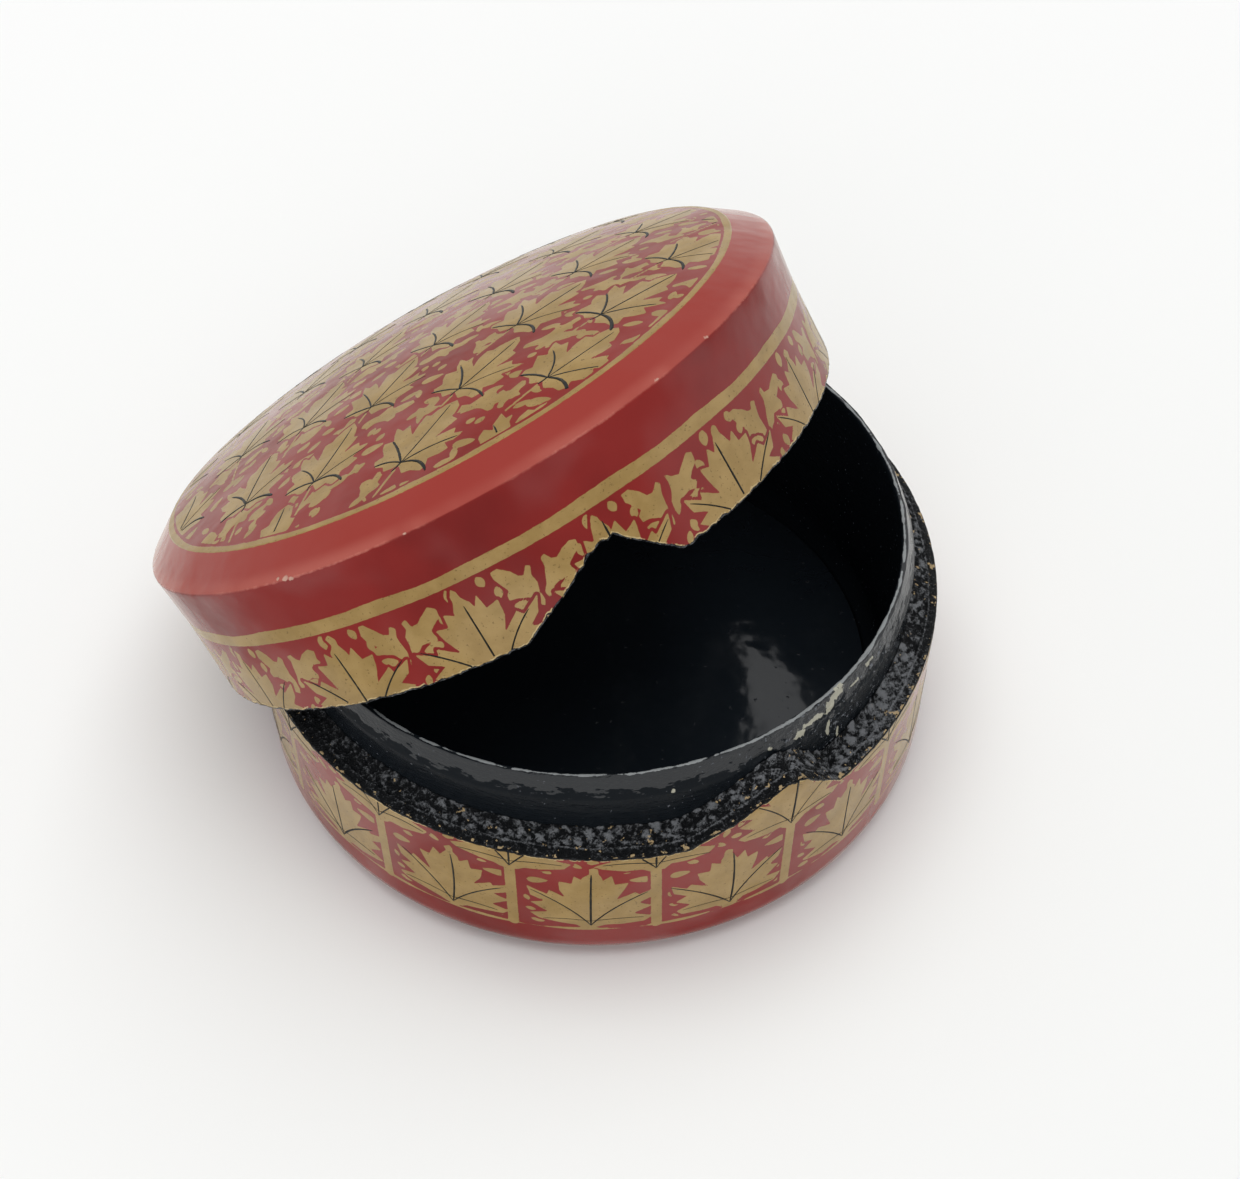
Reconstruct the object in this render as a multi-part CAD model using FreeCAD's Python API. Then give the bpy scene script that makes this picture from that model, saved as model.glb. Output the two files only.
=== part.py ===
import FreeCAD, Part
import math
import os

from FreeCAD import Placement, Rotation, Vector

# A round papier-mache box, 4 inches across, in millimetres: a closed shell is moulded, sawn in two along a
# wavy line with one tooth, and a collar is glued into the lower half to hold the lid.
# +Z is up. The origin is the centre of the foot. The lid is off and leans on the rim of the box.
# Angles are in degrees, counted from +X towards +Y.

# Moulded shell
outer_radius = 50.0
wall_thickness = 3.7
foot_round = 4.4
floor_thickness = 4.0
crease_height = 46.1       # edge of the lid's top, with the box closed
crease_overhang = 0.5
crease_flare_height = 7.8  # the wall starts to lean out this far below the crease
shoulder_width = 5.0
shoulder_rise = 3.5
crown_rise = 5.5           # dome above the shoulder
top_thickness = 4.0
soffit_drop = 1.0          # edge of the lid's ceiling below the crease
ceiling_break_share = 0.6  # the ceiling changes slope here, as a share of inner_radius

# Saw cut that parts lid from box
cut_height = 25.8          # mean height at the outer face
cut_sway = 0.6             # slow rise and fall of the hand-held saw
cut_sway_waves = 2
cut_sway_low = 300.0       # angle of one low place
cut_rake_height = 1.5      # the cut rises this much from the outer to the inner face
saw_kerf = 0.3
tooth_rise = 7.0
tooth_start = 287.0        # angles of the tooth: long ramp, crest, short drop
tooth_crest_start = 302.5
tooth_crest_end = 305.5
tooth_end = 314.0
cut_step = 6.0             # spacing in degrees of the points along the cut
tooth_step = 1.5           # closer spacing along the tooth

# Collar
collar_thickness = 2.4
collar_height = 36.4       # top of the collar above the foot
collar_slip = 0.3          # gap all round: glue fills it in the box, and the lid slides over it
collar_lip = 0.8           # flat width of the top edge
collar_bevel_height = 3.4

# Lid at rest
lean_azimuth = 142.0       # direction in which the lid leans off the box
lean_turn = -5.0           # the lid is turned by this about its own axis
lean_side_room = 0.75      # wanted between the lid's wall and the rim of the box, at either side
least_tilt = 15.0          # the tilt is looked for from here to the steepest, in these steps
steepest_tilt = 75.0
tilt_step = 0.25
rest_gap = 0.15
settle_step = 0.02         # accuracy of the height at which the lid rests
slide_step = 0.001         # accuracy of its sideways place
rim_step = 0.25            # spacing in degrees of the places looked at along the rim

overrun = 10.0             # how far cutters reach past what they cut

inner_radius = outer_radius - wall_thickness
crease_radius = outer_radius + crease_overhang
shoulder_radius = crease_radius - shoulder_width
shoulder_height = crease_height + shoulder_rise
crown_height = shoulder_height + crown_rise
axis = Vector(0, 0, 1)
origin = Vector(0, 0, 0)


def at(radius, height):
    """Point of a profile in the XZ plane."""
    return Vector(radius, 0, height)


def line(start, end):
    return Part.LineSegment(start, end).toShape()


def dome_level(radius):
    """Height of the dome above one radius: a shallow ball cap inside the shoulder."""
    ball_radius = (shoulder_radius ** 2 + crown_rise ** 2) / (2 * crown_rise)
    return crown_height - ball_radius + math.sqrt(ball_radius ** 2 - radius ** 2)


def ceiling_corners():
    """Radius and height of the corners of the lid's ceiling, from the wall to the middle."""
    break_radius = ceiling_break_share * inner_radius
    return [
        (inner_radius, crease_height - soffit_drop),
        (break_radius, dome_level(break_radius) - top_thickness),
        (0, crown_height - top_thickness),
    ]


def outline(corners):
    """Closed profile of straight lines."""
    edges = []
    for number, corner in enumerate(corners):
        edges.append(line(corners[number - 1], corner))
    return edges


def turned(edges):
    """Solid of revolution about Z of a closed profile."""
    profile = Part.Face(Part.Wire(edges))
    return profile.revolve(origin, axis, 360)


def rings_at(shape, radius, height):
    """Circular edges of a turned solid at one radius and height."""
    reach = overrun / 1000
    found = []
    for edge in shape.Edges:
        box = edge.BoundBox
        level = box.ZLength < reach and abs(box.ZMax - height) < reach
        if level and abs(box.XMax - radius) < reach:
            found.append(edge)
    return found


def moulded_shell():
    """The closed, hollow shell as it comes off the mould."""
    foot = at(outer_radius, 0)
    flare = at(outer_radius, crease_height - crease_flare_height)
    crease = at(crease_radius, crease_height)
    shoulder = at(shoulder_radius, shoulder_height)
    halfway = at(shoulder_radius / 2, dome_level(shoulder_radius / 2))
    crown = at(0, crown_height)
    outside = turned([
        line(origin, foot),
        line(foot, flare),
        line(flare, crease),
        line(crease, shoulder),
        Part.Arc(shoulder, halfway, crown).toShape(),
        line(crown, origin),
    ])
    outside = outside.makeFillet(foot_round, rings_at(outside, outer_radius, 0))

    ceiling = [at(radius, height) for radius, height in ceiling_corners()]
    inside = turned(outline([at(0, floor_thickness), at(inner_radius, floor_thickness)] + ceiling))
    return outside.cut(inside)


def cut_level(angle):
    """Height of the saw cut at the outer face: a slow sway and one tooth."""
    sway = cut_sway * math.cos(math.radians(cut_sway_waves * (angle - cut_sway_low)))
    ramp = (angle - tooth_start) / (tooth_crest_start - tooth_start)
    drop = (tooth_end - angle) / (tooth_end - tooth_crest_end)
    tooth = tooth_rise * max(0, min(1, ramp, drop))
    return cut_height - sway + tooth


def cut_angles():
    """Angles of the points along the cut, closer together at the tooth."""
    angles = []
    angle = 0.0
    while angle < 360:
        angles.append(angle)
        near_tooth = tooth_start - cut_step <= angle < tooth_end + cut_step
        angle += tooth_step if near_tooth else cut_step
    return angles


def cut_curve(radius):
    """Closed curve of the cut at one radius, raked up towards the axis."""
    angles = cut_angles()
    rake = cut_rake_height * (outer_radius - radius) / wall_thickness
    points = []
    for angle in angles:
        turn = math.radians(angle)
        points.append(Vector(radius * math.cos(turn), radius * math.sin(turn), cut_level(angle) + rake))
    curve = Part.BSplineCurve()
    curve.interpolate(Points=points, PeriodicFlag=True, Parameters=angles + [360.0])
    return curve.toShape()


def below_cut():
    """Everything under the saw cut, as a ring that takes in the whole wall."""
    outer = cut_curve(outer_radius + wall_thickness)
    inner = cut_curve(inner_radius - wall_thickness)
    surface = Part.makeRuledSurface(inner, outer)
    return surface.extrude(axis * -(cut_height + overrun))


def lower_shell(shell, sawn_off):
    """Floor and wall of the box, up to the saw cut."""
    floor_part = Part.makeCylinder(inner_radius, cut_height, axis * -overrun)
    return shell.common(sawn_off.fuse(floor_part)).removeSplitter()


def upper_shell(shell, sawn_off):
    """Lid: dome and wall, down to the saw cut less the kerf."""
    floor_part = Part.makeCylinder(inner_radius, cut_height, axis * -overrun)
    kept_off = sawn_off.fuse(floor_part)
    kept_off.translate(axis * saw_kerf)
    return shell.cut(kept_off).removeSplitter()


def collar():
    """Collar: stands on the floor inside the wall, and is bevelled at the top so that the lid finds it."""
    bore = inner_radius - collar_thickness
    slide_radius = inner_radius - collar_slip
    return turned(outline([
        at(bore, floor_thickness),
        at(slide_radius, floor_thickness),
        at(slide_radius, collar_height - collar_bevel_height),
        at(bore + collar_lip, collar_height),
        at(bore, collar_height),
    ]))


def least(low, high, fits, accuracy):
    """Least value that fits, between one that doesn't and one that does."""
    while high - low > accuracy:
        middle = (low + high) / 2
        if fits(middle):
            high = middle
        else:
            low = middle
    return high


def standing_height(tilt):
    """Height of the lid's crease circle with its cut edge on the ground."""
    turn = math.radians(tilt)
    depth = crease_height - cut_level(lean_azimuth - lean_turn) - saw_kerf
    return outer_radius * math.sin(turn) + depth * math.cos(turn) + rest_gap


def in_lid(outward, height, tilt, reach):
    """Place of a point along the lid's crease circle and above it, in the plane in which the lid leans."""
    turn = math.radians(tilt)
    forward = outward - reach
    up = height - standing_height(tilt)
    along = forward * math.cos(turn) - up * math.sin(turn)
    above = forward * math.sin(turn) + up * math.cos(turn)
    return along, above


def ceiling_room(tilt, reach):
    """Room between the lid's ceiling and the top edge of the collar."""
    collar_edge = inner_radius - collar_thickness + collar_lip
    along, above = in_lid(collar_edge, collar_height, tilt, reach)
    (wall, wall_level), (bend, bend_level), (middle, middle_level) = ceiling_corners()
    if abs(along) > bend:
        slope = (wall_level - bend_level) / (wall - bend)
    else:
        slope = (bend_level - middle_level) / (bend - middle)
    level = bend_level + slope * (abs(along) - bend) - crease_height
    return level - above


def lean_reach(tilt):
    """Sideways place of the lid's crease circle with its ceiling on the collar."""

    def clear(reach):
        return ceiling_room(tilt, reach) > rest_gap

    return least(-outer_radius, outer_radius * 2, clear, slide_step)


def rim_room(tilt, reach, angle):
    """Room in the lid for the rim of the box, at an angle from the way it leans. None if it passes below."""
    turn = math.radians(angle)
    rim_level = cut_level((lean_azimuth + angle) % 360)
    across = outer_radius * math.sin(turn)
    along, above = in_lid(outer_radius * math.cos(turn), rim_level, tilt, reach)
    lid_angle = lean_azimuth - lean_turn + math.degrees(math.atan2(across, along))
    lid_edge = cut_level(lid_angle % 360) + cut_rake_height + saw_kerf - crease_height
    if above < lid_edge:
        return None
    return inner_radius - math.hypot(along, across)


def side_room(tilt):
    """Least room for the rim of the box, with the lid on the ground and on the collar."""
    reach = lean_reach(tilt)
    rooms = []
    angle = -90.0
    while angle <= 90:
        rooms.append(rim_room(tilt, reach, angle))
        angle += rim_step
    return min((room for room in rooms if room is not None), default=inner_radius)


def lean_tilt():
    """Least tilt that leaves the wanted room at the sides, or else the one that leaves the most."""
    most_room = None
    tilt = least_tilt
    while tilt <= steepest_tilt:
        room = side_room(tilt)
        if room >= lean_side_room:
            return tilt
        if most_room is None or room > most_room:
            most_room = room
            best = tilt
        tilt += tilt_step
    return best


def lean(tilt, reach, height):
    """Placement of the lid, off the box and leaning, with its crease circle at a reach and a height."""
    turn = math.radians(lean_azimuth)
    outward = Vector(math.cos(turn), math.sin(turn), 0)
    centre = outward * reach + axis * height
    rotation = Rotation(axis.cross(outward), tilt).multiply(Rotation(axis, lean_turn))
    return Placement(centre, rotation).multiply(Placement(axis * -crease_height, Rotation()))


def settled(lid, obstacles):
    """The leaning lid, let down until it is only the rest gap away from what it leans on."""
    tilt = lean_tilt()
    reach = lean_reach(tilt)

    def clear(height):
        lid.Placement = lean(tilt, reach, height)
        return lid.distToShape(obstacles)[0] > rest_gap

    lowest = standing_height(tilt) - rest_gap
    height = least(lowest, lowest + outer_radius, clear, settle_step)
    lid.Placement = lean(tilt, reach, height)
    print("lid leans by", tilt, "degrees, its crease circle at", round(reach, 2), round(height, 2))
    return lid


os.makedirs("parts", exist_ok=True)
whole_shell = moulded_shell()
sawn_part = below_cut()
base_shell = lower_shell(whole_shell, sawn_part)
inner_collar = collar()
ground_side = 8 * outer_radius
ground = Part.makePlane(ground_side, ground_side, Vector(-ground_side / 2, -ground_side / 2, 0))
obstacles = Part.makeCompound([base_shell, inner_collar, ground])
lid_shell = settled(upper_shell(whole_shell, sawn_part), obstacles)

pieces = {"base_shell": base_shell, "inner_collar": inner_collar, "lid_shell": lid_shell}
for name, shape in pieces.items():
    box = shape.BoundBox
    print(name, "solids", len(shape.Solids), "valid", shape.isValid(), "volume", round(shape.Volume, 1),
          "z", round(box.ZMin, 2), round(box.ZMax, 2), "x", round(box.XMin, 2), round(box.XMax, 2))
    shape.exportStep("parts/" + name + ".step")
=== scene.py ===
import math

import bpy
import numpy as np
from mathutils import Matrix, Vector


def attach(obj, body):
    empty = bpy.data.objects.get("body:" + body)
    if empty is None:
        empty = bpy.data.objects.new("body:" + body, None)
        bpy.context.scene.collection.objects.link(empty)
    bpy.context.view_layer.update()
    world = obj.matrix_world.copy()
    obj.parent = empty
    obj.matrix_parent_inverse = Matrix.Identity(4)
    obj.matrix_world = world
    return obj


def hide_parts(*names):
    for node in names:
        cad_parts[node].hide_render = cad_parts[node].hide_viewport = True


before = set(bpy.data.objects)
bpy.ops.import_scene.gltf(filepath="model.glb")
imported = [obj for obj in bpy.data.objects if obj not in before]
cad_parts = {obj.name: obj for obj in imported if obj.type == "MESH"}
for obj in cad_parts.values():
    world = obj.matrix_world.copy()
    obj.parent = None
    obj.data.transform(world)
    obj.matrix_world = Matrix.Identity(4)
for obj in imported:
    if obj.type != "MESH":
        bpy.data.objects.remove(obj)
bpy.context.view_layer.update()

# A round lacquered papier-mache box with its lid leaning on the rim. Lengths below are in millimetres and
# angles in degrees. The painted shapes are worked out on the closed box, and the lid is then put in its place.

millimetre = 0.001

shell = {
    "outerRadius": 50.0, "innerRadius": 46.3, "footRound": 4.4, "floorTop": 4.0,
    "creaseHeight": 46.1, "creaseRadius": 50.5, "flareHeight": 7.8,
    "shoulderRadius": 45.5, "shoulderHeight": 49.6, "crownHeight": 55.1,
    "topThickness": 4.0, "soffitDrop": 1.0, "bendRadius": 27.78,
}
sawCut = {
    "height": 25.8, "sway": 0.6, "waves": 2, "low": 300.0, "rake": 1.5, "kerf": 0.3,
    "toothRise": 7.0, "toothStart": 287.0, "crestStart": 302.5, "crestEnd": 305.5, "toothEnd": 314.0,
}
crowd = {"strength": 0.33, "front": 285.0}
lidRest = {"azimuth": 142.0, "tilt": 36.25, "reach": 25.82, "height": 46.15, "turn": -5.0}


def cutLevel(angle):
    # cut height = mean - sway cos(waves (angle - low)) + rise x (ramp up, crest, drop)
    angle = np.mod(angle, 360)
    sway = sawCut["sway"] * np.cos(np.radians(sawCut["waves"] * (angle - sawCut["low"])))
    ramp = (angle - sawCut["toothStart"]) / (sawCut["crestStart"] - sawCut["toothStart"])
    drop = (sawCut["toothEnd"] - angle) / (sawCut["toothEnd"] - sawCut["crestEnd"])
    tooth = sawCut["toothRise"] * np.clip(np.minimum(ramp, drop), 0, 1)
    return sawCut["height"] - sway + tooth


def ballRadius():
    # radius of the ball that the dome is a cap of: (shoulder^2 + rise^2) / (2 rise)
    rise = shell["crownHeight"] - shell["shoulderHeight"]
    return (shell["shoulderRadius"] ** 2 + rise ** 2) / (2 * rise)


def domeLevel(radius):
    # ball cap: height = crown - ball + root(ball^2 - radius^2)
    ball = ballRadius()
    return shell["crownHeight"] - ball + np.sqrt(ball ** 2 - radius ** 2)


def ceilingLevel(radius):
    # two cones under the dome: straight lines between middle, bend and wall
    bend = domeLevel(shell["bendRadius"]) - shell["topThickness"]
    radii = [0, shell["bendRadius"], shell["innerRadius"]]
    levels = [shell["crownHeight"] - shell["topThickness"], bend, shell["creaseHeight"] - shell["soffitDrop"]]
    return np.interp(radius, radii, levels)


def lidMatrix():
    # rest place = tilt towards the azimuth x turn about the axis x (point - crease centre), moved out and up
    out = math.radians(lidRest["azimuth"])
    outward = Vector((math.cos(out), math.sin(out), 0))
    up = Vector((0, 0, 1))
    turn = Matrix.Rotation(math.radians(lidRest["tilt"]), 4, up.cross(outward))
    turn = turn @ Matrix.Rotation(math.radians(lidRest["turn"]), 4, up)
    centre = outward * lidRest["reach"] + up * lidRest["height"]
    return Matrix.Translation(centre) @ turn @ Matrix.Translation(-up * shell["creaseHeight"])


def placed(points, onLid):
    # closed place -> rest place, as one matrix product
    if not onLid:
        return points
    matrix = np.array(lidMatrix())
    return points @ matrix[:3, :3].T + matrix[:3, 3]


def smoothNoise(angle, height, seed, scale, octaves=3):
    # sum of turned sine waves with seeded phases, each octave half as strong and twice as fine
    draws = np.random.default_rng(seed)
    total = np.zeros(np.broadcast(angle, height).shape)
    strength = 1.0
    for octave in range(octaves):
        for wave in range(5):
            along = round(draws.normal() * shell["outerRadius"] / scale * 2 ** octave)
            up = draws.normal() / scale * 2 ** octave
            phase = draws.uniform(0, 2 * np.pi)
            total = total + strength * np.sin(along * np.radians(angle) + up * height + phase)
        strength *= 0.5
    return total / 5


def hump(value, middle, spread):
    # bell curve: 1 in the middle, exp(-(distance / spread)^2) away from it
    return np.exp(-((value - middle) / spread) ** 2)


def makeMesh(name, points, quads, triangles):
    # points and faces as arrays, put in whole; turned inside out if the enclosed volume comes out negative
    corners = points[quads]
    middle = points.mean(axis=0)
    side = np.cross(corners[:, 2] - corners[:, 0], corners[:, 3] - corners[:, 1])
    if (side * (corners.mean(axis=1) - middle)).sum() < 0:
        quads = quads[:, ::-1]
        triangles = triangles[:, ::-1]
    mesh = bpy.data.meshes.new(name)
    mesh.vertices.add(len(points))
    mesh.vertices.foreach_set("co", (points * millimetre).astype(np.float32).ravel())
    sizes = np.r_[np.full(len(quads), 4), np.full(len(triangles), 3)]
    loops = np.r_[quads.ravel(), triangles.ravel()]
    mesh.loops.add(len(loops))
    mesh.loops.foreach_set("vertex_index", loops.astype(np.int32))
    mesh.polygons.add(len(sizes))
    mesh.polygons.foreach_set("loop_start", np.r_[0, np.cumsum(sizes)[:-1]].astype(np.int32))
    mesh.update(calc_edges=True)
    mesh.validate()
    mesh.shade_smooth()
    piece = bpy.data.objects.new(name, mesh)
    bpy.context.scene.collection.objects.link(piece)
    return piece


def addField(piece, name, values):
    # one number per point, which a finish reads by its name
    field = piece.data.attributes.new(name, "FLOAT", "POINT")
    field.data.foreach_set("value", np.asarray(values, np.float32).ravel())


def crowdedAngles(columns):
    # angle = turn - crowding x sin(turn - front): the columns lie closest where the painting faces the camera
    turn = np.arange(columns) * 2 * np.pi / columns
    return np.degrees(turn - crowd["strength"] * np.sin(turn - math.radians(crowd["front"])))


def turnedPiece(name, radii, heights, onLid, closedLoop):
    # x = r cos a, y = r sin a, z = h on a grid of profile rows by angle columns
    rows, columns = radii.shape
    angle = np.radians(crowdedAngles(columns))
    grid = np.stack([radii * np.cos(angle), radii * np.sin(angle), heights], axis=-1)
    number = np.arange(rows * columns).reshape(rows, columns)
    following = np.roll(number, -1, axis=1)
    low, high = number[:-1], number[1:]
    lowNext, highNext = following[:-1], following[1:]
    quads = np.stack([low, lowNext, highNext, high], axis=-1).reshape(-1, 4)
    points = grid.reshape(-1, 3)
    triangles = np.zeros((0, 3), int)
    if closedLoop:
        last = np.stack([number[-1], following[-1], following[0], number[0]], axis=-1)
        quads = np.r_[quads, last]
    else:
        first = len(points)
        points = np.r_[points, [[0, 0, heights[0].mean()], [0, 0, heights[-1].mean()]]]
        startFan = np.stack([np.full(columns, first), following[0], number[0]], axis=-1)
        endFan = np.stack([np.full(columns, first + 1), number[-1], following[-1]], axis=-1)
        triangles = np.r_[startFan, endFan]
    return makeMesh(name, placed(points, onLid), quads, triangles)


def rowsBetween(start, end, spacing):
    # equal steps from start to end, without the last point
    count = max(1, round(abs(end - start) / spacing))
    return start + (end - start) * np.arange(count) / count


paintedShapes = {
    # right halves from tip to foot, across and up from the joint of the veins
    "sideLeaf": [(0, 14.6), (0.6, 14.0), (0.5, 13.1), (1.2, 12.0), (1.3, 11.2), (2.5, 12.3), (2.9, 10.3),
                 (4.6, 10.7), (4.2, 8.8), (3.1, 6.4), (5.8, 8.2), (6.2, 7.3), (8.8, 8.7), (8.0, 6.7),
                 (6.2, 5.6), (8.1, 4.6), (5.7, 2.9), (8.3, 1.9), (7.3, 1.0), (4.2, 0.4), (2.0, 0.2),
                 (1.1, -0.5), (0, -0.7)],
    "topLeaf": [(0, 12.3), (1.1, 11.2), (1.8, 9.8), (1.9, 8.9), (3.1, 8.6), (2.8, 7.0), (2.1, 4.8),
                (3.6, 6.1), (4.4, 6.9), (4.8, 5.9), (6.5, 6.3), (5.6, 4.7), (4.7, 3.8), (6.1, 3.1),
                (5.4, 1.9), (4.2, 0.9), (4.9, -0.3), (4.3, -1.2), (2.7, -1.1), (1.6, -1.8), (0.6, -1.0),
                (0, -0.6)],
    # whole leaflet with two ears, from its foot up its left side and back
    "petal": [(0, 0), (-0.2, 0.9), (0.2, 2.2), (0.6, 3.6), (1.0, 4.9), (0.7, 6.2), (1.4, 6.4), (2.0, 5.2),
              (2.9, 5.2), (4.0, 6.1), (5.6, 6.9), (6.5, 6.5), (6.2, 5.3), (5.3, 4.4), (4.3, 3.5), (5.0, 2.6),
              (4.6, 1.9), (3.4, 2.0), (2.1, 1.8), (1.1, 1.2), (0.5, 0.2)],
    "wobble": 0.12, "rounding": 0.06, "gap": 0.42,
}


def outlineField(x, y, corners):
    # distance to the nearest side of the closed outline, positive where an odd count of sides lies to the right
    nearest = np.full(x.shape, 99.0)
    inside = np.zeros(x.shape, bool)
    for (startX, startY), (endX, endY) in zip(corners, np.roll(corners, -1, axis=0)):
        runX, runY = endX - startX, endY - startY
        share = np.clip(((x - startX) * runX + (y - startY) * runY) / (runX ** 2 + runY ** 2), 0, 1)
        nearest = np.minimum(nearest, np.hypot(x - startX - share * runX, y - startY - share * runY))
        crosses = (startY > y) != (endY > y)
        inside ^= crosses & (x < startX + (y - startY) * runX / (runY or 1))
    return np.where(inside, nearest, -nearest) + paintedShapes["rounding"]


def leafField(x, y, shape, size, draws):
    # the right half and its mirror image as one outline, each corner moved a little as a brush would
    right = np.array(paintedShapes[shape], float)
    corners = np.r_[right, right[-2:0:-1] * (-1, 1)] * size
    return outlineField(x, y, corners + draws.normal(size=corners.shape) * paintedShapes["wobble"])


def turnedPlace(x, y, place, turn):
    # across and along a shape at a place, turned clockwise
    turned = math.radians(turn)
    return ((x - place[0]) * math.cos(turned) - (y - place[1]) * math.sin(turned),
            (x - place[0]) * math.sin(turned) + (y - place[1]) * math.cos(turned))


def petalField(x, y, foot, size, turn, side, draws):
    # the eared leaflet at its foot, turned clockwise; side 1 bends it to the right and -1 to the left
    across, along = turnedPlace(x, y, foot, turn)
    corners = np.array(paintedShapes["petal"], float) * size
    corners = corners + draws.normal(size=corners.shape) * paintedShapes["wobble"]
    return outlineField(across * side, along, corners)


def budField(x, y, middle, length, width, turn):
    # oval with slightly pointed ends: half width root(1 - a^2) x (1 - a^2 / 4), less the distance from its line
    across, along = turnedPlace(x, y, middle, turn)
    along = along / (length / 2)
    inner = np.clip(along ** 2, 0, 1)
    inside = width / 2 * np.sqrt(1 - inner) * (1 - inner / 4) - np.abs(across)
    outside = -np.hypot(np.maximum(np.abs(across) - 0.1, 0), (np.abs(along) - 1) * length / 2)
    return np.where(np.abs(along) < 1, inside, outside)


def dropField(x, y, middle, length, width, turn):
    # leaflet: broad above its foot and drawn out to a point, half width = w root(1 + a) (1 - a)
    across, along = turnedPlace(x, y, middle, turn)
    along = along / (length / 2)
    inner = np.clip(along, -1, 1)
    inside = width * 0.46 * np.sqrt(1 + inner) * (1 - inner) - np.abs(across)
    outside = -np.hypot(np.maximum(np.abs(across) - 0.1, 0), (np.abs(along) - 1) * length / 2)
    return np.where(np.abs(along) < 1, inside, outside)


def stemField(x, y, start, end, width):
    # half width - distance from the line between two points
    run = np.subtract(end, start)
    share = np.clip(((x - start[0]) * run[0] + (y - start[1]) * run[1]) / (run @ run), 0, 1)
    return width / 2 - np.hypot(x - start[0] - share * run[0], y - start[1] - share * run[1])


def apart(leaves, fillers):
    # small shapes keep a red gap to the leaves: field = max(leaves, min(fillers, -leaves - gap))
    return np.maximum(leaves, np.minimum(fillers, -leaves - paintedShapes["gap"]))


sides = {
    "leafCount": 16, "upperPhase": 281.9, "upperJoint": 22.2, "upperSize": 0.99,
    "lowerPhase": 271.7, "lowerJoint": 8.7, "lowerSize": 0.98, "baseLine": 8.0,
    "sprigFoot": 22.2, "goldLine": 38.3, "goldLineWidth": 1.9, "goldLineGap": 0.3, "stemWidth": 1.5,
    "lean": 2.0, "sizeSpread": 0.03,
}


def sectors(angle, phase):
    # number of the copy that each point belongs to, and its distance round the wall from that copy's middle
    step = 360 / sides["leafCount"]
    turned = np.mod(angle - phase + step / 2, 360)
    arc = math.radians(1) * shell["outerRadius"]
    return np.floor(turned / step).astype(int), (np.mod(turned, step) - step / 2) * arc


def leaningLeaf(x, y, size, draws):
    # a side leaf, leaning and sized a little differently each time it is painted
    lean = math.radians(draws.normal() * sides["lean"])
    size = size * draws.uniform(1 - sides["sizeSpread"], 1 + sides["sizeSpread"])
    return leafField(x - y * lean, y + x * lean, "sideLeaf", size, draws)


def sideGold(angle, height, seed):
    # leaves and stems, then sprigs and buds kept apart from them, then the gold line and the ground line
    leaves = np.full(np.broadcast(angle, height).shape, -9.0)
    fillers = leaves.copy()
    upperNumber, upperAcross = sectors(angle, sides["upperPhase"])
    lowerNumber, lowerAcross = sectors(angle, sides["lowerPhase"])
    for number in range(sides["leafCount"]):
        draws = np.random.default_rng(seed + number)
        here = upperNumber == number
        x = upperAcross[here]
        y = (height - sides["upperJoint"])[here]
        leaf = leaningLeaf(x, y, sides["upperSize"], draws)
        stemFoot = (draws.normal() * 0.4, sides["baseLine"] - sides["upperJoint"])
        stem = stemField(x, y, (0, -0.4), stemFoot, sides["stemWidth"])
        leaves[here] = np.maximum(leaves[here], np.maximum(leaf, stem))
        here = lowerNumber == number
        x = lowerAcross[here]
        y = (height - sides["lowerJoint"])[here]
        leaf = leaningLeaf(x, y, sides["lowerSize"], draws)
        leaves[here] = np.maximum(leaves[here], leaf)
        fillers[here] = np.maximum(sprigField(x, height[here], draws), footBuds(x, height[here], draws))
    total = apart(leaves, fillers)
    highest = sides["goldLine"] - sides["goldLineWidth"] / 2 - sides["goldLineGap"]
    total = np.minimum(total, highest - height)

    # both lines waver as a hand draws them
    waver = 0.1 * np.sin(np.radians(angle) * 7 + 1) + 0.07 * np.sin(np.radians(angle) * 19)
    waver = waver + 0.08 * smoothNoise(angle, 0, 51, 2.2, 3)
    line = sides["goldLineWidth"] / 2 + waver * 0.6 - np.abs(height - sides["goldLine"] - waver)
    ground = 0.2 + 0.12 * np.sin(np.radians(angle) * 23) - np.abs(height - sides["baseLine"] + 0.2)
    return np.maximum(total, np.maximum(line, ground))


def sprigField(x, height, draws):
    # a pair of eared leaflets from one foot above the cut, with loose buds and dots round them
    shift = draws.normal(size=14) * 0.25
    y = height - sides["sprigFoot"]
    x = x + draws.normal() * 0.3
    shapes = [
        petalField(x, y, (-0.9, 7.9), 0.86, 4 + shift[0] * 12, 1, draws),
        petalField(x, y, (-2.0, 7.3), 0.88, 17 + shift[1] * 12, -1, draws),
        budField(x, y, (7.4 + shift[2], 13.9), 2.1, 1.4, 8),
        budField(x, y, (5.2 + shift[3], 11.2), 2.0, 1.3, -12),
        budField(x, y, (2.3, 8.4 + shift[4]), 3.4, 1.4, 82),
        budField(x, y, (0.6 + shift[5], 5.4), 1.9, 1.2, -12),
        budField(x, y, (-1.2 + shift[6], 4.4), 1.7, 1.0, 24),
        budField(x, y, (-4.2, 8.3 + shift[7]), 2.6, 1.2, -66),
        budField(x, y, (-5.9 + shift[8], 11.6), 1.6, 1.1, 8),
        budField(x, y, (-7.4 + shift[9], 13.9), 1.6, 1.2, -14),
        budField(x, y, (0.2, 2.7 + shift[10]), 1.7, 1.0, 90),
        budField(x, y, (2.2, 2.2 + shift[11]), 2.2, 1.0, 52),
        budField(x, y, (-2.2, 2.0 + shift[12]), 2.2, 0.9, -56),
    ]
    return np.maximum.reduce(shapes)


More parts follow.
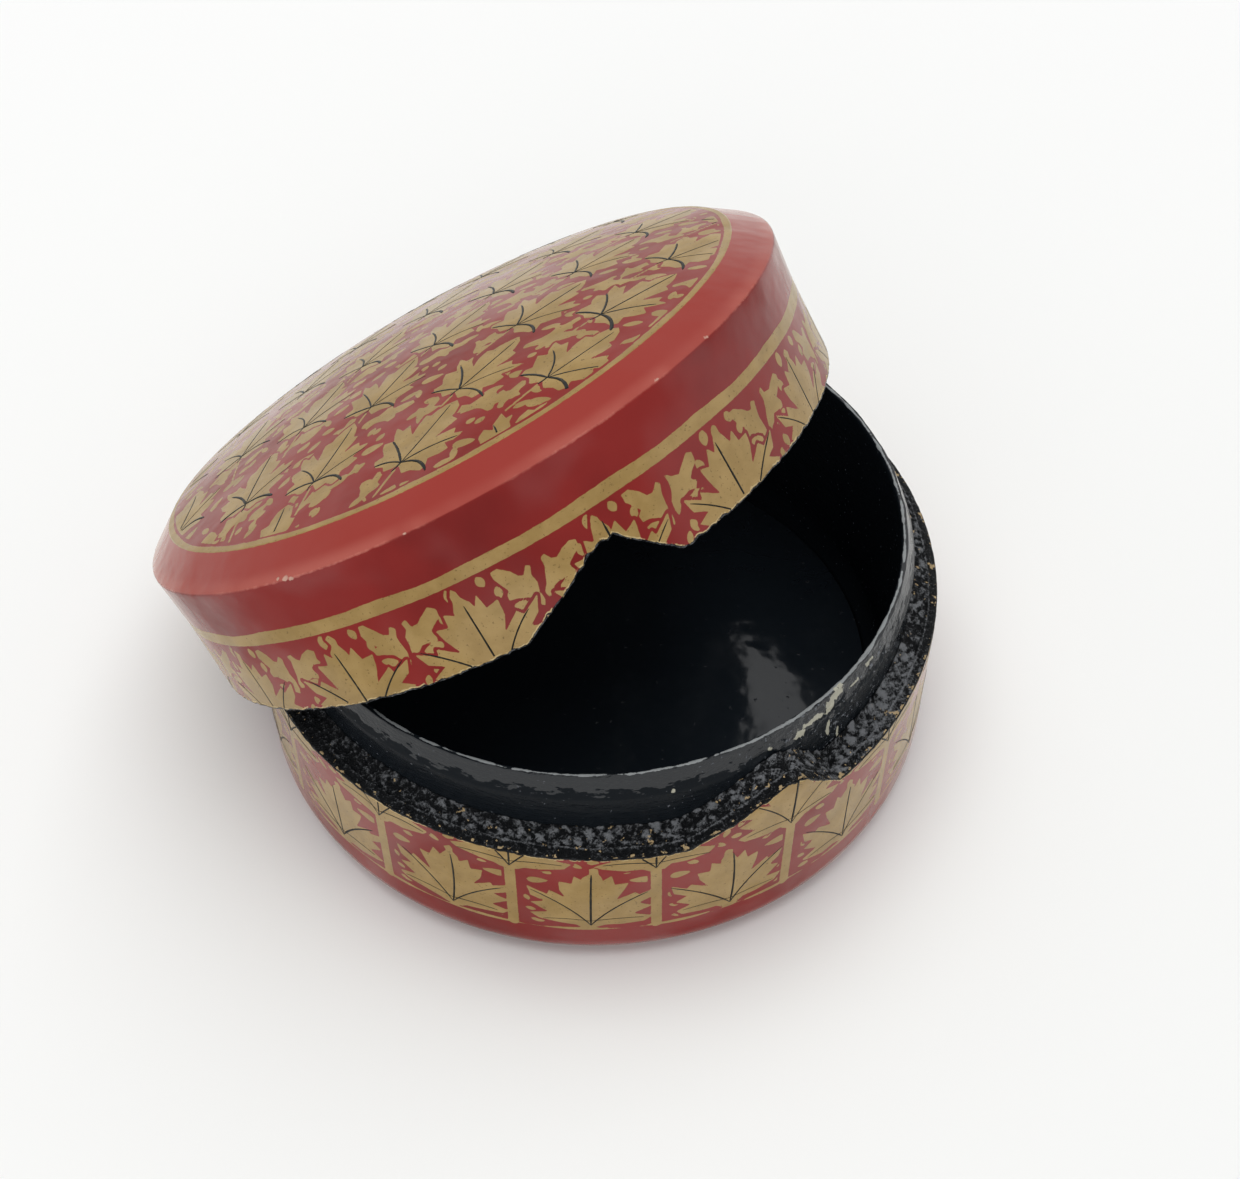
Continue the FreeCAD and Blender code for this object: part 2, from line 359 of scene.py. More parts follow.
def footBuds(x, height, draws):
    # leaflets and dots between the leaves of the lower row and the stems
    shift = draws.normal(size=10) * 0.2
    y = height - sides["lowerJoint"]
    shapes = [
        dropField(x, y, (6.6 + shift[0], 11.1), 3.8, 1.5, -88),
        dropField(x, y, (-7.2 + shift[1], 10.9), 3.0, 1.4, 86),
        budField(x, y, (7.9 + shift[2], 4.3), 1.5, 0.9, 74),
        budField(x, y, (-8.2 + shift[3], 3.4), 1.5, 0.8, -70),
        budField(x, y, (7.3 + shift[4], 0.8), 2.2, 1.1, 80),
        budField(x, y, (-7.7 + shift[5], 0.6), 2.0, 0.9, -80),
        budField(x, y, (8.4 + shift[6], 6.6), 1.4, 0.8, 20),
        budField(x, y, (-8.5 + shift[7], 6.2), 1.4, 0.8, -24),
        budField(x, y, (5.2 + shift[8], 13.4), 1.8, 1.0, 70),
        budField(x, y, (-5.8 + shift[9], 13.2), 1.8, 1.0, -66),
    ]
    return np.maximum.reduce(shapes)


top = {
    "start": (12.3, -24.4), "rowStep": (14.3, -4.3), "lineStep": (5.3, 14.3),
    "heading": 67.0, "fan": -0.75, "size": 1.0, "reach": 56.0, "near": 18.0,
    "ring": 45.2, "ringWidth": 0.95, "ringGap": 0.5, "stemWidth": 0.42,
}


def topLeaves():
    # lattice of joints, also outside the ring where a leaf reaches in; heading = mean + fan x
    found = []
    for line in range(-6, 8):
        for row in range(-7, 7):
            draws = np.random.default_rng(500 + line * 40 + row)
            x = top["start"][0] + row * top["rowStep"][0] + line * top["lineStep"][0] + draws.normal() * 0.45
            y = top["start"][1] + row * top["rowStep"][1] + line * top["lineStep"][1] + draws.normal() * 0.45
            heading = top["heading"] + top["fan"] * x + draws.normal() * 3
            size = top["size"] * draws.uniform(0.95, 1.05)
            if math.hypot(x, y) < top["reach"]:
                found.append({"x": x, "y": y, "size": size, "heading": heading, "seed": 1600 + line * 40 + row})
    return found


def topGold(x, y):
    # leaves, then their stems and buds kept apart from them, all inside the ring, then the ring
    leaves = np.full(x.shape, -9.0)
    fillers = leaves.copy()
    for place in topLeaves():
        near = np.hypot(x - place["x"], y - place["y"]) < top["near"]
        across, along = turnedPlace(x[near], y[near], (place["x"], place["y"]), 90 - place["heading"])
        draws = np.random.default_rng(place["seed"])
        leaf = leafField(across, along, "topLeaf", place["size"], draws)
        leaves[near] = np.maximum(leaves[near], leaf)
        shift = draws.normal(size=14) * 0.35
        shapes = [
            stemField(across, along, (0, -0.5), (0.6 + shift[0], -8.8), top["stemWidth"]),
            petalField(across, along, (3.0 + shift[1], 9.6), 0.86 * draws.uniform(0.85, 1.12), 12, 1, draws),
            budField(across, along, (-5.2 + shift[2], 9.0), 2.4, 1.2, 30),
            budField(across, along, (-5.4 + shift[3], 12.1), 2.1, 1.4, 70),
            budField(across, along, (7.2 + shift[4], 0.6), 2.8, 1.2, 45),
            budField(across, along, (6.5 + shift[5], 8.3), 1.4, 1.1, 30),
            dropField(across, along, (8.6 + shift[6], 4.4), 3.6, 1.6, 64),
            budField(across, along, (-7.4 + shift[7], -1.4), 2.3, 1.1, -48),
            petalField(across, along, (-0.9 + shift[8], -7.2), 0.62, -58, 1, draws),
            dropField(across, along, (3.9 + shift[9], -3.9), 3.6, 1.8, 48),
            budField(across, along, (4.6 + shift[10], -6.6), 1.7, 1.2, 10),
            budField(across, along, (-8.4 + shift[11], 4.6), 1.6, 1.1, 12),
        ]
        fillers[near] = np.maximum(fillers[near], np.maximum.reduce(shapes))
    distance = np.hypot(x, y)
    angle = np.arctan2(y, x)
    total = np.minimum(apart(leaves, fillers), top["ring"] - top["ringWidth"] / 2 - top["ringGap"] - distance)
    waver = 0.08 * np.sin(angle * 9) + 0.05 * np.sin(angle * 23 + 1)
    ring = top["ringWidth"] / 2 + waver - np.abs(distance - top["ring"])
    return np.maximum(total, ring)


stroke = {
    "rise": 0.035, "depth": 0.05, "steps": 24,
    # turn from the mid vein, length, width, bow and start above the joint
    "side": [(0, 13.3, 0.30, 0.1, 0.0), (43, 11.7, 0.25, -0.7, 0.0), (-43, 11.7, 0.25, 0.7, 0.0),
             (87, 7.3, 0.17, -0.4, 1.1), (-87, 7.3, 0.17, 0.4, 1.1)],
    "top": [(0, 11.6, 0.27, 0.15, 0.0), (49, 8.5, 0.24, -0.35, 0.0), (103, 5.9, 0.43, -0.8, 0.0),
            (-105, 4.8, 0.41, 0.35, 0.0), (-49, 6.9, 0.32, 0.4, 0.0), (188, 1.7, 0.3, 0.0, 0.0)],
    "thick": 0.4, "fewest": 4, "cutMargin": 0.35, "ringMargin": 1.2,
    "thinShape": [0.5, 1.0, 0.95, 0.8, 0.3], "thickShape": [0.6, 0.85, 1.0, 1.05, 0.4],
}


def strokeRibbon(path, normals, widths):
    # four-sided rib along a path: left, top, right and a hidden keel, closed at its ends by its taper
    run = np.gradient(path, axis=0)
    run /= np.linalg.norm(run, axis=1)[:, None]
    across = np.cross(run, normals)
    across /= np.linalg.norm(across, axis=1)[:, None]
    half = widths[:, None] / 2
    left = path - across * half
    right = path + across * half
    crest = path + normals * stroke["rise"]
    keel = path - normals * stroke["depth"]
    rings = np.stack([left, crest, right, keel], axis=1)
    count = len(path)
    number = np.arange(count * 4).reshape(count, 4)
    following = np.roll(number, -1, axis=1)
    quads = np.stack([number[:-1], following[:-1], following[1:], number[1:]], axis=-1).reshape(-1, 4)
    caps = np.array([number[0, ::-1], number[-1]])
    return rings.reshape(-1, 3), np.r_[quads, caps]


def veinStrokes(kind, size, seed):
    # place = start + length s along the turn + bow 4 s (1 - s) across it, the width following the brush
    draws = np.random.default_rng(seed + 7)
    share = np.linspace(0, 1, stroke["steps"])
    strokes = []
    for turn, length, width, bow, start in stroke[kind]:
        turned = math.radians(turn + draws.normal() * 2.5)
        along = share * length * size * draws.uniform(0.9, 1.04)
        off = (bow + draws.normal() * 0.12) * 4 * share * (1 - share)
        x = along * math.sin(turned) + off * math.cos(turned)
        y = start + along * math.cos(turned) - off * math.sin(turned)
        shape = stroke["thickShape"] if width > stroke["thick"] else stroke["thinShape"]
        brush = np.interp(share, [0, 0.12, 0.5, 0.92, 1], shape)
        strokes.append((x, y, width * draws.uniform(0.8, 1.25) * brush * draws.uniform(0.88, 1.12, len(share))))
    return strokes


def gather(name, ribs, onLid):
    # all ribs as one piece, their corner numbers counted on from rib to rib
    points = []
    quads = []
    first = 0
    for ribPoints, ribQuads in ribs:
        points.append(ribPoints)
        quads.append(ribQuads + first)
        first += len(ribPoints)
    allPoints = placed(np.concatenate(points), onLid)
    return makeMesh(name, allPoints, np.concatenate(quads), np.zeros((0, 3), int))


def wallRadius(height):
    # straight wall, then the flare up to the crease
    start = shell["creaseHeight"] - shell["flareHeight"]
    share = np.clip((height - start) / shell["flareHeight"], 0, 1)
    return shell["outerRadius"] + share * (shell["creaseRadius"] - shell["outerRadius"])


def sideVeins(name, onLid):
    # strokes of both leaf rows, kept where they are on this side of the saw cut
    ribs = []
    step = 360 / sides["leafCount"]
    arc = math.radians(1) * shell["outerRadius"]
    rows = [("upperPhase", "upperJoint", "upperSize", 0), ("lowerPhase", "lowerJoint", "lowerSize", 40)]
    for phase, joint, size, offset in rows:
        for number in range(sides["leafCount"]):
            middle = sides[phase] + number * step
            for x, y, width in veinStrokes("side", sides[size], 900 + offset + number):
                angle = middle + x / arc
                height = sides[joint] + y
                if onLid:
                    kept = height > cutLevel(angle) + sawCut["kerf"] + stroke["cutMargin"]
                else:
                    kept = height < cutLevel(angle) - stroke["cutMargin"]
                if kept.sum() < stroke["fewest"]:
                    continue
                turn = np.radians(angle[kept])
                radius = wallRadius(height[kept])
                path = np.stack([radius * np.cos(turn), radius * np.sin(turn), height[kept]], axis=-1)
                normals = np.stack([np.cos(turn), np.sin(turn), np.zeros(kept.sum())], axis=-1)
                ribs.append(strokeRibbon(path, normals, width[kept]))
    return gather(name, ribs, onLid)


def topVeins(name):
    # strokes of the leaves on the dome, kept inside the gold ring; they stand along the ball's radius
    ribs = []
    ballCentre = np.array([0, 0, shell["crownHeight"] - ballRadius()])
    for place in topLeaves():
        turn = math.radians(90 - place["heading"])
        for x, y, width in veinStrokes("top", place["size"], place["seed"]):
            px = place["x"] + x * math.cos(turn) + y * math.sin(turn)
            py = place["y"] - x * math.sin(turn) + y * math.cos(turn)
            radius = np.hypot(px, py)
            kept = radius < top["ring"] - stroke["ringMargin"]
            if kept.sum() < stroke["fewest"]:
                continue
            px, py, radius = px[kept], py[kept], radius[kept]
            path = np.stack([px, py, domeLevel(radius)], axis=-1)
            normals = path - ballCentre
            normals /= np.linalg.norm(normals, axis=1)[:, None]
            ribs.append(strokeRibbon(path, normals, width[kept]))
    return gather(name, ribs, True)


damage = {
    "chipReach": 1.2, "chipTear": 0.9, "tearSize": 0.24,
    # size and share of each layer of lumps in the torn pulp, and the level taken off their sum
    "lumps": [(0.55, 0.5), (0.27, 0.32), (0.16, 0.18)], "lumpLevel": 0.4,
}


def chippedSpots(angle, height, places):
    # greatest reach of the chipped spots: (reach - distance in half sizes + tear x fine noise) x half width
    arc = math.radians(1) * shell["outerRadius"]
    torn = smoothNoise(angle, height, 71, damage["tearSize"], 2)
    total = np.full(np.broadcast(angle, height).shape, -3.0)
    for middle, level, length, width in places:
        across = (np.mod(angle - middle + 180, 360) - 180) * arc / (length / 2)
        up = (height - level) / (width / 2)
        reach = damage["chipReach"] - np.hypot(across, up) + torn * damage["chipTear"]
        total = np.maximum(total, reach * width / 2)
    return total


def crumbs(angle, across, seed):
    # torn pulp: folded noise at three sizes, so that it stands in lumps with sharp valleys
    lumps = sum(np.abs(smoothNoise(angle, across, seed + number, scale, 1)) * weight
                for number, (scale, weight) in enumerate(damage["lumps"]))
    return lumps - damage["lumpLevel"]


def startMaterial(name):
    # a new finish with its tree and its Principled shader
    material = bpy.data.materials.new(name)
    material.use_nodes = True
    tree = material.node_tree
    shader = tree.nodes["Principled BSDF"]
    return material, tree, shader


def addNode(tree, kind, inputs=None, **settings):
    # a shader node with its settings; an input takes a value or a link
    made = tree.nodes.new("ShaderNode" + kind)
    for key, value in settings.items():
        setattr(made, key, value)
    for key, value in (inputs or {}).items():
        socket = made.inputs[key]
        if isinstance(value, bpy.types.NodeSocket):
            tree.links.new(value, socket)
        else:
            socket.default_value = value
    return made


def readField(tree, name):
    return addNode(tree, "Attribute", attribute_name=name).outputs["Fac"]


def maths(tree, operation, first, second=0.0, third=0.0):
    # MULTIPLY_ADD is first x second + third
    made = addNode(tree, "Math", operation=operation)
    for number, value in enumerate((first, second, third)):
        if isinstance(value, bpy.types.NodeSocket):
            tree.links.new(value, made.inputs[number])
        else:
            made.inputs[number].default_value = value
    return made.outputs[0]


def softStep(tree, value, low, high):
    # 0 below low, 1 above high, smooth between
    made = addNode(tree, "MapRange", {"From Min": low, "From Max": high}, interpolation_type="SMOOTHSTEP")
    tree.links.new(value, made.inputs["Value"])
    return made.outputs["Result"]


def oneMinus(tree, value):
    return maths(tree, "SUBTRACT", 1.0, value)


def mixColours(tree, share, first, second):
    # first + share x (second - first)
    made = addNode(tree, "Mix", data_type="RGBA")
    for number, value in ((0, share), (6, first), (7, second)):
        if isinstance(value, bpy.types.NodeSocket):
            tree.links.new(value, made.inputs[number])
        elif number == 0:
            made.inputs[number].default_value = value
        else:
            made.inputs[number].default_value = (*value, 1)
    return made.outputs[2]


def noise(tree, scale, detail=3.0, roughness=0.55, stretch=None):
    # noise on Object coordinates; scale is in waves per metre
    place = addNode(tree, "TexCoord").outputs["Object"]
    if stretch:
        place = addNode(tree, "Mapping", {"Vector": place, "Scale": stretch}).outputs[0]
    made = addNode(tree, "TexNoise", {"Vector": place, "Scale": scale, "Detail": detail, "Roughness": roughness})
    return made.outputs["Fac"]


def spots(tree, scale, detail, low, high, roughness=0.55):
    # noise stepped smoothly from 0 at low to 1 at high
    return softStep(tree, noise(tree, scale, detail, roughness), low, high)


def bump(tree, height, distance, strength=1.0, under=None):
    # distance in metres is how high the relief stands; under is the bump below it
    inputs = {"Height": height, "Distance": distance, "Strength": strength}
    if under:
        inputs["Normal"] = under
    return addNode(tree, "Bump", inputs).outputs["Normal"]


paint = {
    # the lighter red is painted light on the shoulder and top, which face the light from above; the rubbed red
    # colours a rubbed line and the painted highlights at the crease
    "deepRed": (0.145, 0.0095, 0.0085), "red": (0.205, 0.0155, 0.0135), "litFromAboveRed": (0.27, 0.034, 0.026),
    "gold": (0.262, 0.169, 0.057), "paleGold": (0.325, 0.216, 0.080), "tarnish": (0.15, 0.092, 0.030),
    "gesso": (0.46, 0.27, 0.21), "rubbedAndHighlightRed": (0.50, 0.17, 0.13), "ochreEdge": (0.50, 0.38, 0.19),
    "blackEdge": (0.007, 0.007, 0.008), "shine": 0.11, "clearShine": 0.32, "roughness": 0.13, "edgeWaver": 0.16,
    "dust": 0.13, "topDust": 0.04, "dustTint": (0.96, 0.87, 0.62), "dustRoughness": 0.35,
    # scale, detail, low and high level of the noise, and its roughness where that isn't the usual one
    "mottle": (45, 3.0, 0.3, 0.62), "clouds": (260, 4.0, 0.35, 0.7), "specks": (2400, 3.0, 0.62, 0.72),
    "stretches": (60, 3.0, 0.38, 0.58), "flecks": (520, 4.0, 0.45, 0.55, 0.65), "clear": (40, 3.0, 0.44, 0.56, 0.5),
    # millimetres from the lines of the fields between which a coat starts and is whole; creaseGlow is the band of
    # painted highlight above the crease
    "goldEdge": (-0.03, 0.03), "creaseLine": (0.28, 0.5), "creaseGlow": (0.1, 2.1), "chipEdge": (0.0, 0.08),
    "torn": 0.85, "ochreBand": (0.03, 0.17), "blackBand": (-0.12, -0.04),
    "waveDepth": 0.0003, "coatDepth": 0.00006,
}


def makePainted():
    # gold where field + fine noise > 0, over a mottled red, painted lighter on the shoulder and top as lit from
    # above;
    # a rubbed line and painted highlights at the crease, chips, black and ochre at the saw cut; glossier in clear
    # clouds, and dull where it is faded, matt or damaged
    material, tree, shader = startMaterial("paintedLacquer")
    gold = readField(tree, "gold")
    edge = maths(tree, "MULTIPLY_ADD", noise(tree, 1500, 3.0), paint["edgeWaver"], gold)
    edge = maths(tree, "SUBTRACT", edge, paint["edgeWaver"] / 2)
    isGold = softStep(tree, edge, *paint["goldEdge"])
    redCoat = mixColours(tree, spots(tree, *paint["mottle"]), paint["deepRed"], paint["red"])
    # painted light: the shoulder and top take a lighter red, as lit from above
    redCoat = mixColours(tree, readField(tree, "fadedAndLit"), redCoat, paint["litFromAboveRed"])
    goldCoat = mixColours(tree, spots(tree, *paint["clouds"]), paint["gold"], paint["paleGold"])
    goldCoat = mixColours(tree, spots(tree, *paint["specks"]), goldCoat, paint["tarnish"])
    colour = mixColours(tree, isGold, redCoat, goldCoat)

    # along the crease a rubbed line that is also a painted highlight, and above it on the shoulder a painted
    # highlight fading over about 2 mm
    crease = readField(tree, "crease")
    line = maths(tree, "MULTIPLY_ADD", noise(tree, 1100, 4.0), 0.5, maths(tree, "ABSOLUTE", crease))
    stretches = spots(tree, *paint["stretches"])
    rubbedAndHighlit = maths(tree, "MULTIPLY", oneMinus(tree, softStep(tree, line, *paint["creaseLine"])), stretches)
    beside = oneMinus(tree, softStep(tree, crease, *paint["creaseGlow"]))
    glow = maths(tree, "MULTIPLY", readField(tree, "fadedAndLit"), beside)
    glow = maths(tree, "MULTIPLY", glow, maths(tree, "MULTIPLY_ADD", stretches, 0.22, 0.14))
    colour = mixColours(tree, maths(tree, "MULTIPLY_ADD", rubbedAndHighlit, 0.45, glow), colour, paint["rubbedAndHighlightRed"])
    chipped = softStep(tree, readField(tree, "bare"), *paint["chipEdge"])
    colour = mixColours(tree, chipped, colour, paint["gesso"])

    fromCut = readField(tree, "fromCut")
    ragged = noise(tree, 700, 5.0, 0.65)
    torn = maths(tree, "SUBTRACT", fromCut, maths(tree, "MULTIPLY", ragged, paint["torn"]))
    flecks = spots(tree, *paint["flecks"])
    ochre = maths(tree, "MULTIPLY", oneMinus(tree, softStep(tree, torn, *paint["ochreBand"])), flecks)
    colour = mixColours(tree, ochre, colour, paint["ochreEdge"])
    blackened = oneMinus(tree, softStep(tree, torn, *paint["blackBand"]))
    colour = mixColours(tree, blackened, colour, paint["blackEdge"])
    tree.links.new(colour, shader.inputs["Base Color"])

    damaged = maths(tree, "MAXIMUM", maths(tree, "MAXIMUM", chipped, ochre), maths(tree, "MULTIPLY", rubbedAndHighlit, 0.5))
    gloss = maths(tree, "MULTIPLY_ADD", noise(tree, 160, 3.0), 0.1, paint["roughness"] - 0.05)
    gloss = maths(tree, "MULTIPLY_ADD", isGold, 0.1, gloss)
    gloss = maths(tree, "MULTIPLY_ADD", damaged, 0.5, gloss)
    tree.links.new(gloss, shader.inputs["Roughness"])
    clear = spots(tree, *paint["clear"])
    clear = maths(tree, "MULTIPLY", clear, maths(tree, "MULTIPLY_ADD", readField(tree, "fadedAndLit"), -0.8, 1.0))
    shine = maths(tree, "MULTIPLY_ADD", clear, paint["clearShine"] - paint["shine"], paint["shine"])
    shine = maths(tree, "MULTIPLY", shine, oneMinus(tree, readField(tree, "matt")))
    tree.links.new(shine, shader.inputs["Specular IOR Level"])
    dust = maths(tree, "MULTIPLY_ADD", readField(tree, "fadedAndLit"), paint["topDust"], paint["dust"])
    tree.links.new(dust, shader.inputs["Sheen Weight"])
    shader.inputs["Sheen Roughness"].default_value = paint["dustRoughness"]
    shader.inputs["Sheen Tint"].default_value = (*paint["dustTint"], 1)
    waves = bump(tree, noise(tree, 130, 2.0), paint["waveDepth"])
    relief = maths(tree, "MULTIPLY_ADD", isGold, 0.3, maths(tree, "MULTIPLY", noise(tree, 900, 4.0), 0.25))
    relief = maths(tree, "MULTIPLY_ADD", damaged, -0.8, relief)
    tree.links.new(bump(tree, relief, paint["coatDepth"], 1.0, waves), shader.inputs["Normal"])
    return material


lacquer = {
    "black": (0.013, 0.0175, 0.023), "dust": (0.04, 0.044, 0.05), "roughness": 0.1, "shine": 0.5,
    "specks": (800, 3.0, 0.68, 0.76), "smears": (90, 4.0, 0.52, 0.8),
    "bulge": 0.0029, "waveDepth": 0.00019, "speckDepth": 0.00005,
}


def makeLacquer():
    # black with sparse dust and dull smears, over waves of the pulp; the bowl's floor bulges in the middle
    material, tree, shader = startMaterial("blackLacquer")
    specks = spots(tree, *lacquer["specks"])
    smears = maths(tree, "MULTIPLY", spots(tree, *lacquer["smears"]), 0.2)
    dusty = maths(tree, "MAXIMUM", maths(tree, "MULTIPLY", specks, 0.5), smears)
    tree.links.new(mixColours(tree, dusty, lacquer["black"], lacquer["dust"]), shader.inputs["Base Color"])
    gloss = maths(tree, "MULTIPLY_ADD", dusty, 0.3, lacquer["roughness"])
    shader.inputs["Specular IOR Level"].default_value = lacquer["shine"]
    tree.links.new(gloss, shader.inputs["Roughness"])
    bulge = bump(tree, readField(tree, "bulge"), lacquer["bulge"])
    waves = bump(tree, noise(tree, 210, 1.5, 0.5), lacquer["waveDepth"], 1.0, bulge)
    tree.links.new(bump(tree, specks, lacquer["speckDepth"], 1.0, waves), shader.inputs["Normal"])
    return material


sawn = {
    # grey is the colour of the painted glints
    "dark": (0.005, 0.0056, 0.0065), "grey": (0.140, 0.147, 0.158), "fleck": (0.42, 0.31, 0.17),
    "dull": 0.07, "glint": 0.55, "roughness": 0.24,
    "coarse": 0.65, "lumps": 0.24, "glintFrom": 0.52, "glintTo": 0.76, "fleckFrom": 0.66, "fleckTo": 0.70,
    "grainDepth": 0.0009,
}


def makeSawn():
    # torn pulp under black paint: where grain + crumbs stand up it is painted grey as glints and shines, else dull
    # black;
    # ochre flecks, most of them along the rim
    material, tree, shader = startMaterial("sawnPulpEdge")
    grain = maths(tree, "MULTIPLY", noise(tree, 4000, 2.0, 0.7, (1, 1, 1.6)), 1 - sawn["coarse"])
    grain = maths(tree, "MULTIPLY_ADD", noise(tree, 1500, 4.0, 0.68), sawn["coarse"], grain)
    raised = maths(tree, "MULTIPLY_ADD", readField(tree, "crumbGlints"), sawn["lumps"], grain)
    # painted glints: the grey stands for facets of the pulp that catch the light
    glint = softStep(tree, raised, sawn["glintFrom"], sawn["glintTo"])
    colour = mixColours(tree, glint, sawn["dark"], sawn["grey"])
    flecks = maths(tree, "MULTIPLY_ADD", readField(tree, "rim"), 0.1, noise(tree, 900, 3.0))
    flecks = softStep(tree, flecks, sawn["fleckFrom"], sawn["fleckTo"])
    tree.links.new(mixColours(tree, flecks, colour, sawn["fleck"]), shader.inputs["Base Color"])
    shine = maths(tree, "MULTIPLY_ADD", glint, sawn["glint"] - sawn["dull"], sawn["dull"])
    tree.links.new(shine, shader.inputs["Specular IOR Level"])
    tree.links.new(bump(tree, grain, sawn["grainDepth"]), shader.inputs["Normal"])
    shader.inputs["Roughness"].default_value = sawn["roughness"]
    return material


worn = {
    # the lip's light grey is rubbed wear and a painted highlight
    "black": (0.0060, 0.0078, 0.0100), "grey": (0.085, 0.093, 0.108), "rubbedAndHighlit": (0.20, 0.212, 0.215),
    "gesso": (0.33, 0.32, 0.255), "roughness": 0.13, "dull": 0.06, "gloss": 0.5,
    "wetLevel": 0.0373, "wetEdge": 0.00012, "flecks": 0.006, "waveDepth": 0.00012, "scuffDepth": 0.0004,
    "scuffEdge": (0.655, 0.73), "rubbedEdge": (0.78, 0.96), "patchEdge": (0.42, 0.52),
}


def makeCollarFinish():
    # black: glossy on the upper bevel down to a flecked edge, dull below it; grey where scuffed, a rubbed line
    # along the lip that is also a painted highlight, and a bare patch of gesso
    material, tree, shader = startMaterial("collarLacquer")
    place = addNode(tree, "TexCoord").outputs["Object"]
    height = addNode(tree, "SeparateXYZ", {"Vector": place}).outputs["Z"]
    streaks = noise(tree, 400, 4.0, 0.6, (1, 1, 3.0))
    fine = noise(tree, 1500, 4.0, 0.65)
    wet = maths(tree, "MULTIPLY_ADD", streaks, worn["flecks"], height)
    wet = softStep(tree, wet, worn["wetLevel"] - worn["wetEdge"], worn["wetLevel"] + worn["wetEdge"])
    scuffed = maths(tree, "MULTIPLY_ADD", readField(tree, "scuff"), 0.19, fine)
    scuffed = softStep(tree, scuffed, *worn["scuffEdge"])
    colour = mixColours(tree, scuffed, worn["black"], worn["grey"])
    # the lip line is rubbed wear and a painted highlight
    ragged = maths(tree, "MULTIPLY_ADD", noise(tree, 900, 4.0, 0.7), 1.6, readField(tree, "lip"))
    rubbedAndHighlit = softStep(tree, ragged, *worn["rubbedEdge"])
    colour = mixColours(tree, rubbedAndHighlit, colour, worn["rubbedAndHighlit"])
    patch = maths(tree, "MULTIPLY_ADD", fine, 0.9, readField(tree, "bare"))
    patch = softStep(tree, patch, *worn["patchEdge"])
    colour = mixColours(tree, patch, colour, worn["gesso"])
    tree.links.new(colour, shader.inputs["Base Color"])
    lit = maths(tree, "MAXIMUM", wet, scuffed)
    shine = maths(tree, "MULTIPLY_ADD", lit, worn["gloss"] - worn["dull"], worn["dull"])
    tree.links.new(shine, shader.inputs["Specular IOR Level"])
    dull = maths(tree, "MAXIMUM", maths(tree, "MAXIMUM", scuffed, rubbedAndHighlit), patch)
    tree.links.new(maths(tree, "MULTIPLY_ADD", dull, 0.3, worn["roughness"]), shader.inputs["Roughness"])
    waves = bump(tree, streaks, worn["waveDepth"])
    relief = maths(tree, "MULTIPLY", fine, maths(tree, "ADD", 0.1, readField(tree, "scuff")))
    tree.links.new(bump(tree, relief, worn["scuffDepth"], 1.0, waves), shader.inputs["Normal"])
    return material


ink = {
    "black": (0.010, 0.011, 0.010), "brown": (0.045, 0.038, 0.022), "thin": (1100, 3.0, 0.5, 0.75),
    "roughness": 0.4, "shine": 0.08,
}


def makeVeinInk():
    # near-black strokes with thin brown places
    material, tree, shader = startMaterial("veinInk")
    colour = mixColours(tree, spots(tree, *ink["thin"]), ink["black"], ink["brown"])
    tree.links.new(colour, shader.inputs["Base Color"])
    shader.inputs["Roughness"].default_value = ink["roughness"]
    shader.inputs["Specular IOR Level"].default_value = ink["shine"]
    return material


paintedFinish = makePainted()
lacquerFinish = makeLacquer()
sawnFinish = makeSawn()
collarFinish = makeCollarFinish()
veinFinish = makeVeinInk()
print("finishes made")


class Rows:
    # rows of a turned profile, from which a piece and its painted fields are made
    def __init__(self, columns):
        self.columns = columns
        self.angle = crowdedAngles(columns)
        self.radii = []
        self.heights = []
        self.parts = []

    def add(self, radius, height, part):
        # part is the finish of the faces above this row
        self.radii.append(np.broadcast_to(radius, self.columns).astype(float))
        self.heights.append(np.broadcast_to(height, self.columns).astype(float))
        self.parts.append(part)

    def arrays(self):
        radii = np.array(self.radii)
        return np.broadcast_to(self.angle, radii.shape), radii, np.array(self.heights), np.array(self.parts)


def setMaterials(piece, parts, columns, closedLoop):
    # a face takes the finish of its lower row: 0 painted, 1 sawn edge, 2 black lacquer
    for material in (paintedFinish, sawnFinish, lacquerFinish):
        piece.data.materials.append(material)
    faces = np.repeat(parts if closedLoop else parts[:-1], columns)
    if not closedLoop:
        faces = np.r_[faces, np.full(columns, parts[0]), np.full(columns, parts[-1])]
    piece.data.polygons.foreach_set("material_index", faces.astype(np.int32))


base = {
    "columns": 1080, "footRows": 8, "wallRows": 70, "edgeSoft": 0.3, "edgeRagged": 0.32, "skin": 1.0,
    "ledgeColumns": 2200, "ledgeRows": 38, "ledgeInset": 0.16, "ledgeDrop": 0.04, "ledgeSkirt": 1.0,
    "lumps": 0.62, "smoothBand": 1.1, "toothSoft": 1.6, "fillet": 0.55, "filletWidth": 0.4,
    "ridgeInset": 1.2, "ridgeWidth": 0.16, "ridgeHeight": 0.14, "rimWidth": 0.7,
    # middle and spread, in degrees round the wall, of the places that are broken, rough, in painted shade with few
    # glints, grey with more painted glints, or chippy
    "brokenAt": (306, 10), "roughAt": (318, 14), "shadedAt": (215, 32), "greyAt": (338, 20), "chippyAt": (330, 16),
    "floorColumns": 360, "floorWave": 0.05, "bowlRadius": 45.0,
}


def cutEdge(angle, seed):
    # how far the paint has broken away from the saw cut: folded fine noise and bites, most of it beside the tooth
    fine = np.abs(smoothNoise(angle, 0, seed, 0.9, 3))
    bites = np.clip(smoothNoise(angle, 0, seed + 1, 2.0, 2) - 0.5, 0, 1)
    return (fine + 1.2 * bites) * base["edgeRagged"] * (1 + 0.9 * hump(np.mod(angle, 360), *base["brokenAt"]))


